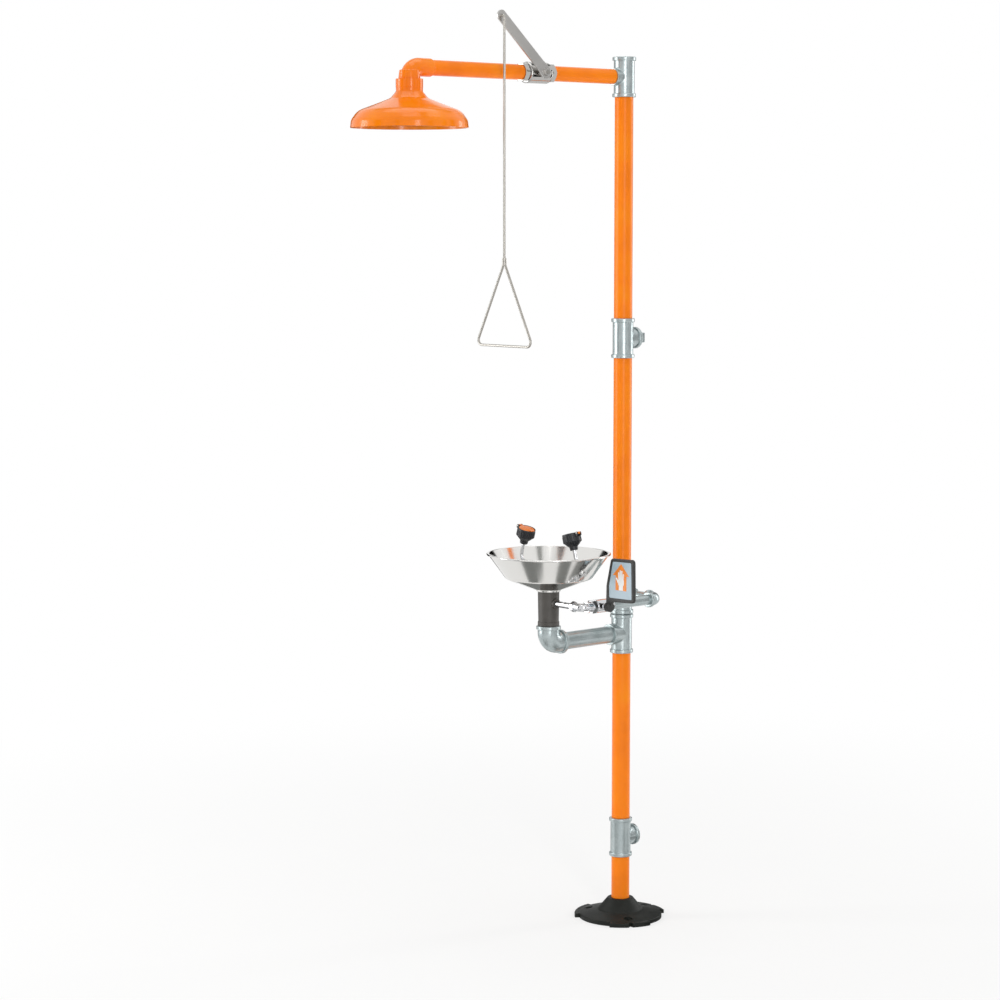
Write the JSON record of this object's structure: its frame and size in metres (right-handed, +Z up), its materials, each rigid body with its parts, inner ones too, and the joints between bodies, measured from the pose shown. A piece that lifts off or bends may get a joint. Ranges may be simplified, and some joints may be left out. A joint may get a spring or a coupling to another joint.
{
  "type": "emergency safety shower",
  "caption": "Floor-standing drench shower with a pull-rod valve and bell head, and an eyewash bowl with capped spray heads and a push-flag valve.",
  "frame": {"origin": "centre of the floor flange's underside, on the stanchion axis", "axes": "+Z up the stanchion, -Y towards the user along the shower arm and over the bowl, +X to the side that carries the eyewash valve and push flag"},
  "size_m": [0.4178, 0.9884, 2.3811],
  "materials": {
    "galvanized_steel": "hot-dip galvanized, dull spangled",
    "orange_plastic": "moulded orange ABS, semi-gloss",
    "black_coated_iron": "black coating on cast iron, satin",
    "dark_plate": "dark moulded spray plate",
    "chromed_brass": "polished chrome plate on brass",
    "stainless_steel": "stainless steel, polished",
    "seat_plastic": "white PTFE",
    "grey_plastic": "dark grey moulded plastic, matt",
    "black_plastic": "black moulded plastic",
    "orange_cap_plastic": "orange moulded plastic",
    "label_sheet": "printed label, satin"
  },
  "bodies": {
    "station": {"arm_cover_front": "orange_plastic", "arm_cover_rear": "orange_plastic", "arm_elbow": "orange_plastic", "arm_pipe_front": "galvanized_steel", "arm_pipe_rear": "galvanized_steel", "bowl": "stainless_steel", "bowl_locknut": "chromed_brass", "bowl_strainer": "stainless_steel", "cap_pins": "stainless_steel", "dividing_nipple": "galvanized_steel", "drain_elbow": "galvanized_steel", "drain_pipe": "galvanized_steel", "drain_tee": "galvanized_steel", "eyewash_valve_body": "chromed_brass", "eyewash_valve_packing_nut": "chromed_brass", "eyewash_valve_seats": "seat_plastic", "floor_flange": "black_coated_iron", "head_collar": "orange_plastic", "inlet_plug": "galvanized_steel", "inlet_tee": "galvanized_steel", "left_spray_body": "black_plastic", "lower_cover": "orange_plastic", "lower_pipe": "galvanized_steel", "middle_cover": "orange_plastic", "middle_pipe": "galvanized_steel", "right_spray_body": "black_plastic", "shower_head": "orange_plastic", "shower_valve_body": "chromed_brass", "shower_valve_packing_nut": "chromed_brass", "shower_valve_seats": "seat_plastic", "spray_inserts": "black_plastic", "spray_plate": "dark_plate", "spray_yoke": "chromed_brass", "supply_bend": "chromed_brass", "supply_elbow": "galvanized_steel", "supply_nipple": "galvanized_steel", "supply_pipe": "galvanized_steel", "supply_tee": "galvanized_steel", "supply_tube": "chromed_brass", "top_cover": "orange_plastic", "top_pipe": "galvanized_steel", "top_tee": "galvanized_steel", "tube_nut": "chromed_brass", "upper_cover": "orange_plastic", "upper_pipe": "galvanized_steel", "waste_riser": "galvanized_steel", "waste_sleeve": "grey_plastic", "waste_tee": "galvanized_steel"},
    "lever": {"shower_lever": "stainless_steel", "shower_lever_nut": "stainless_steel", "shower_valve_stem": "stainless_steel", "shower_valve_ball": "chromed_brass"},
    "rod": {"pull_rod": "stainless_steel", "rod_retainer": "stainless_steel"},
    "flag": {"push_flag": "black_plastic", "flag_label": "label_sheet", "eyewash_valve_stem": "stainless_steel", "eyewash_valve_ball": "chromed_brass"},
    "left_cap": {"left_dust_cap": "orange_cap_plastic"},
    "right_cap": {"right_dust_cap": "orange_cap_plastic"}
  },
  "joints": [
    {"name": "shower_lever_turn", "type": "hinge", "parent": "station", "child": "lever", "pos_m": [0.0366, -0.309, 2.233], "axis": [1, 0, 0], "range_deg": [0, 90]},
    {"name": "pull_rod_hang", "type": "hinge", "parent": "lever", "child": "rod", "pos_m": [0.0411, -0.45763, 2.36683], "axis": [1, 0, 0], "range_deg": [-90, 0]},
    {"name": "push_flag_turn", "type": "hinge", "parent": "station", "child": "flag", "pos_m": [0.16, -0.199, 0.876], "axis": [-1, 0, 0], "range_deg": [0, 90]},
    {"name": "left_cap_flip", "type": "hinge", "parent": "station", "child": "left_cap", "pos_m": [-0.11264, -0.262, 1.06844], "axis": [0, -1, 0], "range_deg": [0, 110]},
    {"name": "right_cap_flip", "type": "hinge", "parent": "station", "child": "right_cap", "pos_m": [0.11264, -0.262, 1.06844], "axis": [0, 1, 0], "range_deg": [0, 110]}
  ],
  "couplings": [
    {"joint": "pull_rod_hang", "follows": "shower_lever_turn", "ratio": -1}
  ]
}
